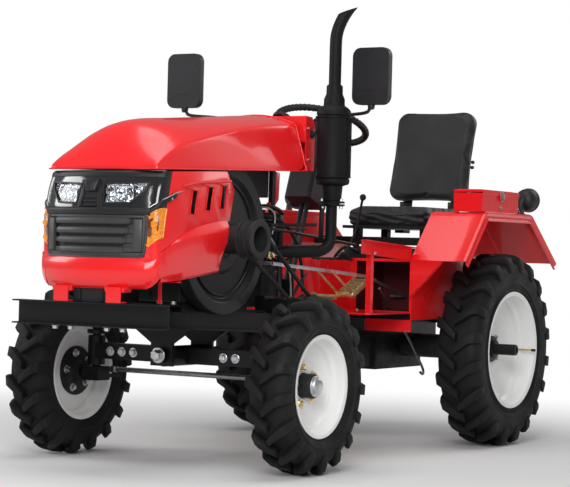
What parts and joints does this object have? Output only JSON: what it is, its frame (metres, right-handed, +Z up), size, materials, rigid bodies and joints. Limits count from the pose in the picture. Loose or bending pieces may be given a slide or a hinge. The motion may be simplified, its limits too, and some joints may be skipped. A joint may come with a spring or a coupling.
{
  "type": "mini tractor",
  "caption": "Small open tractor: ladder frame, side flywheel engine with belt drive, tipping bonnet, driver's seat between mudguards, upright exhaust.",
  "frame": {"origin": "centre of the overall box at the ground", "axes": "+X to the driver's left, -Y ahead, +Z up"},
  "size_m": [1.17, 2.392, 1.5703],
  "materials": {
    "red_paint": "glossy red enamel",
    "black_paint": "satin black enamel",
    "white_paint": "glossy white enamel",
    "tyre_rubber": "matt black tread rubber",
    "engine_iron": "dark painted casting",
    "bare_steel": "bare steel, lightly oxidised",
    "black_plastic": "grained black plastic",
    "gloss_black": "polished black plastic",
    "lamp_glass": "clear lens over a bright bowl",
    "amber_lens": "ribbed amber lens",
    "grip_rubber": "soft black grip",
    "belt_rubber": "fabric-faced belt rubber",
    "seat_vinyl": "grained black vinyl with soft creases",
    "yellow_zinc": "yellow zinc plating"
  },
  "bodies": {
    "chassis": {"main_frame": "black_paint", "front_crossbeam": "black_paint", "nose_brackets": "red_paint", "battery_box": "black_plastic", "drawbar": "black_paint", "front_axle_beam": "black_paint", "rear_transaxle": "engine_iron", "engine_block": "engine_iron", "fuel_tank": "red_paint", "drive_belts": "belt_rubber", "nose_panel": "red_paint", "grille": "black_plastic", "headlight_band": "gloss_black", "headlights": "lamp_glass", "indicators": "amber_lens", "side_panels": "red_paint", "dash_cowl": "red_paint", "steering_column": "black_plastic", "muffler": "black_paint", "exhaust_pipe": "black_paint", "platform": "red_paint", "fender_left": "red_paint", "fender_right": "red_paint", "tool_box": "red_paint", "rear_lamps": "black_plastic", "seat_base": "black_paint", "seat_cushion": "seat_vinyl", "seat_back": "seat_vinyl", "pedals": "yellow_zinc", "gear_lever": "bare_steel", "control_rods": "bare_steel", "mirror_left": "black_plastic", "mirror_right": "black_plastic"},
    "bonnet": {"bonnet": "red_paint"},
    "tool_box_lid": {"tool_box_lid": "red_paint"},
    "steering_wheel": {"steering_wheel": "grip_rubber"},
    "flywheel": {"flywheel": "engine_iron", "belt_pulley": "engine_iron"},
    "clutch_pulley": {"clutch_pulley": "engine_iron"},
    "knuckle_left": {"steering_knuckle_left": "black_paint"},
    "knuckle_right": {"steering_knuckle_right": "black_paint"},
    "tie_rod": {"tie_rod": "black_paint"},
    "wheel_front_left": {"front_tyre_left": "tyre_rubber", "front_wheel_left": "white_paint"},
    "wheel_front_right": {"front_tyre_right": "tyre_rubber", "front_wheel_right": "white_paint"},
    "wheel_rear_left": {"rear_tyre_left": "tyre_rubber", "rear_wheel_left": "white_paint"},
    "wheel_rear_right": {"rear_tyre_right": "tyre_rubber", "rear_wheel_right": "white_paint"}
  },
  "joints": [
    {"name": "bonnet_hinge", "type": "hinge", "parent": "chassis", "child": "bonnet", "pos_m": [0, -0.26, 1.165], "axis": [-1, 0, 0], "range_deg": [0, 55]},
    {"name": "tool_box_lid_hinge", "type": "hinge", "parent": "chassis", "child": "tool_box_lid", "pos_m": [0.421, 0.661, 0.957], "axis": [0, -1, 0], "range_deg": [0, 100]},
    {"name": "steer_left", "type": "hinge", "parent": "chassis", "child": "knuckle_left", "pos_m": [0.366, -0.633, 0.361], "axis": [0, 0, 1], "range_deg": [-30, 30]},
    {"name": "steer_right", "type": "hinge", "parent": "chassis", "child": "knuckle_right", "pos_m": [-0.366, -0.633, 0.361], "axis": [0, 0, 1], "range_deg": [-30, 30]},
    {"name": "tie_rod_swing", "type": "hinge", "parent": "knuckle_left", "child": "tie_rod", "pos_m": [0.366, -0.528, 0.291], "axis": [0, 0, 1], "range_deg": [-30, 30]},
    {"name": "steering_wheel_turn", "type": "hinge", "parent": "chassis", "child": "steering_wheel", "pos_m": [0, 0.242, 1.19], "axis": [0, 0.342, 0.9397], "range_deg": [-360, 360]},
    {"name": "front_wheel_left_spin", "type": "hinge", "parent": "knuckle_left", "child": "wheel_front_left", "pos_m": [0.4755, -0.633, 0.286], "axis": [1, 0, 0], "continuous": true},
    {"name": "front_wheel_right_spin", "type": "hinge", "parent": "knuckle_right", "child": "wheel_front_right", "pos_m": [-0.4755, -0.633, 0.286], "axis": [1, 0, 0], "continuous": true},
    {"name": "rear_wheel_left_spin", "type": "hinge", "parent": "chassis", "child": "wheel_rear_left", "pos_m": [0.491, 0.759, 0.365], "axis": [1, 0, 0], "continuous": true},
    {"name": "rear_wheel_right_spin", "type": "hinge", "parent": "chassis", "child": "wheel_rear_right", "pos_m": [-0.491, 0.759, 0.365], "axis": [1, 0, 0], "continuous": true},
    {"name": "flywheel_spin", "type": "hinge", "parent": "chassis", "child": "flywheel", "pos_m": [0.18, -0.713, 0.754], "axis": [1, 0, 0], "continuous": true},
    {"name": "clutch_pulley_spin", "type": "hinge", "parent": "chassis", "child": "clutch_pulley", "pos_m": [0.305, -0.346, 0.529], "axis": [1, 0, 0], "continuous": true}
  ],
  "couplings": [
    {"joint": "steer_right", "follows": "steer_left", "ratio": 1},
    {"joint": "tie_rod_swing", "follows": "steer_left", "ratio": -1},
    {"joint": "steering_wheel_turn", "follows": "steer_left", "ratio": 12},
    {"joint": "clutch_pulley_spin", "follows": "flywheel_spin", "ratio": 1.458}
  ]
}
